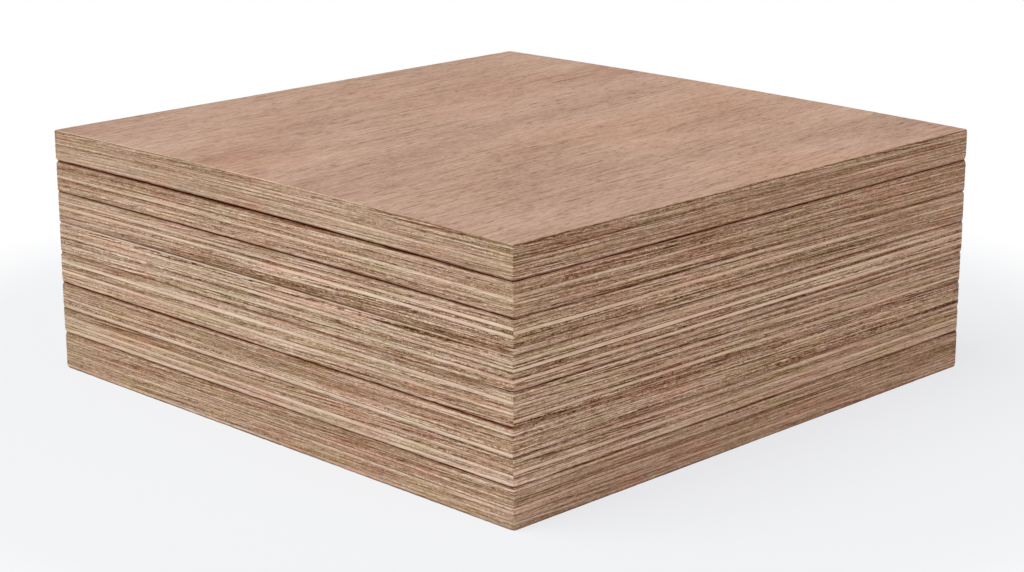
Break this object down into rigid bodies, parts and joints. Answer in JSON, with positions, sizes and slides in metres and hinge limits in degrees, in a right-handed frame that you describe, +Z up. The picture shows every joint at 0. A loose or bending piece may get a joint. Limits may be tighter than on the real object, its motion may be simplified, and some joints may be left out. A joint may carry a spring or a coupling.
{
  "type": "stack of plywood sheets",
  "caption": "Loose stack of square-cut hardwood plywood sheets of mixed thickness, with layered sawn edges and slightly bowed upper sheets.",
  "frame": {"origin": "middle of the stack's footprint, on the floor that the bottom sheet's underside rests on", "axes": "+Z up, through the thickness of the sheets; X along the face grain; Y across the face grain, the way the upper sheets are bowed"},
  "size_m": [0.3755, 0.3756, 0.1456],
  "materials": {
    "thick_plywood": "raw hardwood plywood, unsanded sawn edges, 22 mm sheet",
    "thin_plywood": "raw hardwood plywood, unsanded sawn edges, 15 mm sheets, a little more orange",
    "common_plywood": "raw hardwood plywood with a pinkish tan rotary-cut face veneer, unsanded sawn edges, 18 mm sheets"
  },
  "bodies": {
    "root": {"sheet_1": "thick_plywood", "sheet_2": "thin_plywood", "sheet_3": "thin_plywood", "sheet_4": "common_plywood", "sheet_5": "common_plywood", "sheet_6": "common_plywood", "sheet_7": "common_plywood", "sheet_8": "common_plywood"}
  },
  "joints": []
}
